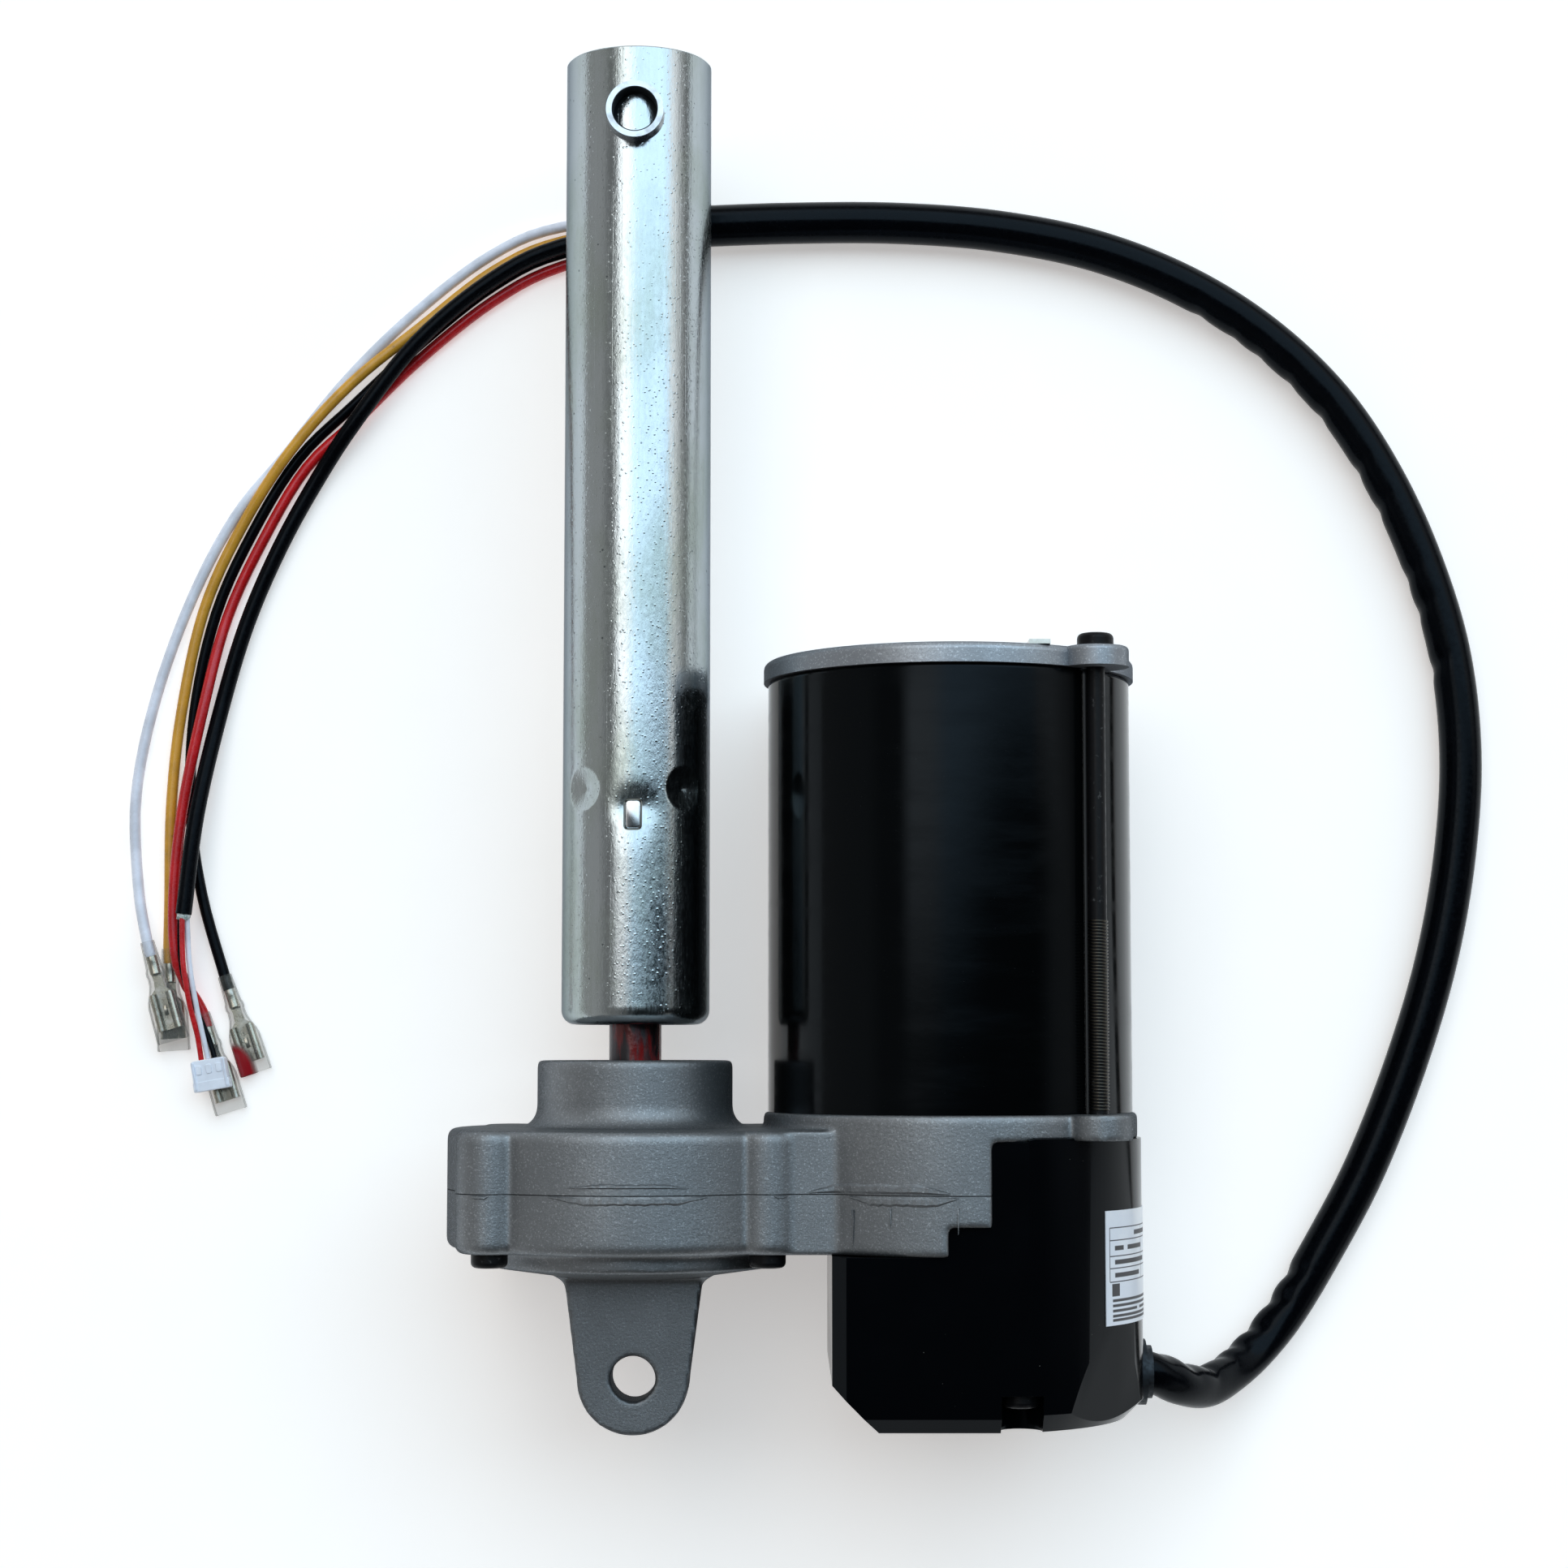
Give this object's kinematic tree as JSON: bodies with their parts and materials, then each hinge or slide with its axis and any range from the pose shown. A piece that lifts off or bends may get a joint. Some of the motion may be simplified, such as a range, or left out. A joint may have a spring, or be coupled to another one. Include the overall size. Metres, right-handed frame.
{
  "type": "linear actuator",
  "caption": "Parallel gear-motor lift actuator: lead screw in a plated steel tube, cast gear housing with rear lug, plastic sensor cover, loose sleeved cable with blade terminals",
  "frame": {"origin": "centre of the rear eye's pin hole", "axes": "+Y along the spindle toward the front eye, +X from the spindle to the motor, +Z along both pins, away from the surface that the actuator lies on"},
  "size_m": [0.3245, 0.3125, 0.084],
  "materials": {
    "upper_housing": "blasted casting",
    "lower_housing": "blasted casting",
    "housing_screws": "black oxide",
    "motor_can": "gloss",
    "motor_end_cap": "cast",
    "through_bolts": "black oxide",
    "earth_tab": "tinned",
    "stator_core": "laminated",
    "stator_windings": "enamelled copper",
    "motor_bearings": "ground",
    "rotor_core": "laminated",
    "motor_shaft": "ground",
    "magnet_wheel": "moulded",
    "sensor_board": "solder mask",
    "board_screws": "zinc plated",
    "idler_shaft": "ground",
    "idler_gear": "natural nylon",
    "idler_pinion": "hardened",
    "spindle_gear": "bronze",
    "gear_lock_nut": "zinc plated",
    "lead_screw": "rolled and greased",
    "thrust_bearing": "ground",
    "spindle_bearing": "ground",
    "spindle_seal": "moulded",
    "outer_tube": "blue-white zinc plated",
    "drive_nut": "acetal",
    "nut_key": "zinc plated",
    "nut_rivets": "zinc plated",
    "front_bushing": "zinc plated",
    "sensor_cover": "moulded gloss",
    "cover_screws": "black oxide",
    "rating_label": "printed film",
    "cable_gland": "moulded",
    "cable_sleeve": "vinyl",
    "white_wire": "vinyl",
    "yellow_wire": "vinyl",
    "black_wire": "vinyl",
    "red_wire": "vinyl",
    "sensor_cable": "vinyl",
    "red_lead": "vinyl",
    "white_lead": "vinyl",
    "black_lead": "vinyl",
    "sensor_connector": "nylon",
    "white_terminal": "tinned",
    "white_boot": "clear vinyl",
    "yellow_terminal": "tinned",
    "yellow_boot": "clear vinyl",
    "black_terminal": "tinned",
    "black_boot": "clear vinyl",
    "red_terminal": "tinned",
    "red_boot": "clear vinyl"
  },
  "bodies": {
    "housing": {"upper_housing": "upper_housing", "lower_housing": "lower_housing", "housing_screws": "housing_screws", "motor_can": "motor_can", "motor_end_cap": "motor_end_cap", "through_bolts": "through_bolts", "earth_tab": "earth_tab", "stator_core": "stator_core", "stator_windings": "stator_windings", "motor_bearings": "motor_bearings", "sensor_board": "sensor_board", "board_screws": "board_screws", "idler_shaft": "idler_shaft", "thrust_bearing": "thrust_bearing", "spindle_bearing": "spindle_bearing", "spindle_seal": "spindle_seal", "sensor_cover": "sensor_cover", "cover_screws": "cover_screws", "rating_label": "rating_label", "cable_gland": "cable_gland", "cable_sleeve": "cable_sleeve", "white_wire": "white_wire", "yellow_wire": "yellow_wire", "black_wire": "black_wire", "red_wire": "red_wire", "sensor_cable": "sensor_cable", "red_lead": "red_lead", "white_lead": "white_lead", "black_lead": "black_lead", "sensor_connector": "sensor_connector", "white_terminal": "white_terminal", "white_boot": "white_boot", "yellow_terminal": "yellow_terminal", "yellow_boot": "yellow_boot", "black_terminal": "black_terminal", "black_boot": "black_boot", "red_terminal": "red_terminal", "red_boot": "red_boot"},
    "rotor": {"rotor_core": "rotor_core", "motor_shaft": "motor_shaft", "magnet_wheel": "magnet_wheel"},
    "idler": {"idler_gear": "idler_gear", "idler_pinion": "idler_pinion"},
    "spindle": {"spindle_gear": "spindle_gear", "gear_lock_nut": "gear_lock_nut", "lead_screw": "lead_screw"},
    "tube": {"outer_tube": "outer_tube", "drive_nut": "drive_nut", "nut_key": "nut_key", "nut_rivets": "nut_rivets", "front_bushing": "front_bushing"}
  },
  "joints": [
    {"name": "rotor_spin", "type": "hinge", "parent": "housing", "child": "rotor", "pos_m": [0.071, 0, 0], "axis": [0, -1, 0], "range_deg": [0, 146361]},
    {"name": "idler_spin", "type": "hinge", "parent": "housing", "child": "idler", "pos_m": [0.044, 0, 0], "axis": [0, -1, 0], "range_deg": [-33264, 0]},
    {"name": "spindle_spin", "type": "hinge", "parent": "housing", "child": "spindle", "pos_m": [0, 0, 0], "axis": [0, -1, 0], "range_deg": [0, 13200]},
    {"name": "tube_slide", "type": "slide", "parent": "housing", "child": "tube", "axis": [0, 1, 0], "range_m": [0, 0.11]}
  ],
  "couplings": [
    {"joint": "idler_spin", "follows": "rotor_spin", "ratio": -0.22727},
    {"joint": "spindle_spin", "follows": "rotor_spin", "ratio": 0.090188},
    {"joint": "tube_slide", "follows": "rotor_spin", "m_per_rad": 0.000043061}
  ]
}
